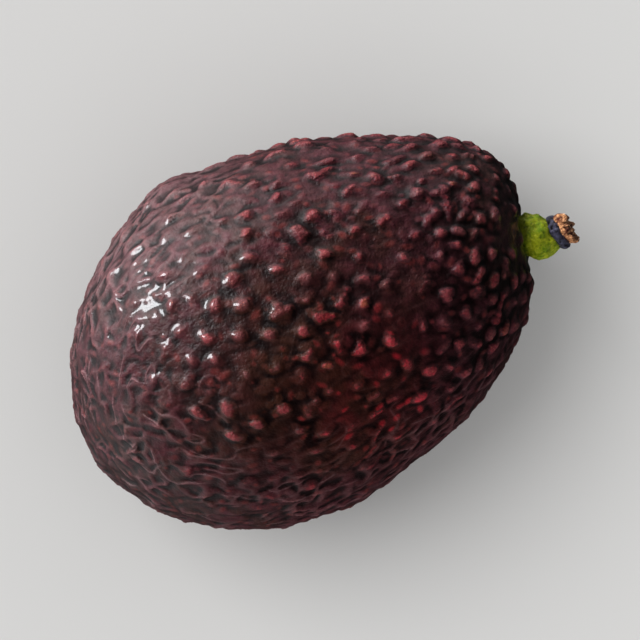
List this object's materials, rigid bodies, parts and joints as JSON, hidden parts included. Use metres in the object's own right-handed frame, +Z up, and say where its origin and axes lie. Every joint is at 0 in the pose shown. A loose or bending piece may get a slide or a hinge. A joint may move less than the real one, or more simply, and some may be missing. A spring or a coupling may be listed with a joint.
{
  "type": "avocado",
  "caption": "Whole ripe Hass avocado with dark pebbled skin and a short broken green stem, lying on its side on a small flat rest spot.",
  "frame": {"origin": "centre of the small flat spot under the fruit, on the surface it rests on", "axes": "+X along the fruit's length toward the stem, +Z up, +Y across the fruit toward the side where the neck's shoulder stands out farther"},
  "size_m": [0.0992, 0.0688, 0.0657],
  "materials": {
    "skin": "glossy waxy pebbled skin, very dark purple-brown with red-brown warts",
    "stem_wood": "matte yellow-green button with a dark ring and a torn tan-brown tip"
  },
  "bodies": {
    "root": {"fruit": "skin", "stem": "stem_wood"}
  },
  "joints": []
}
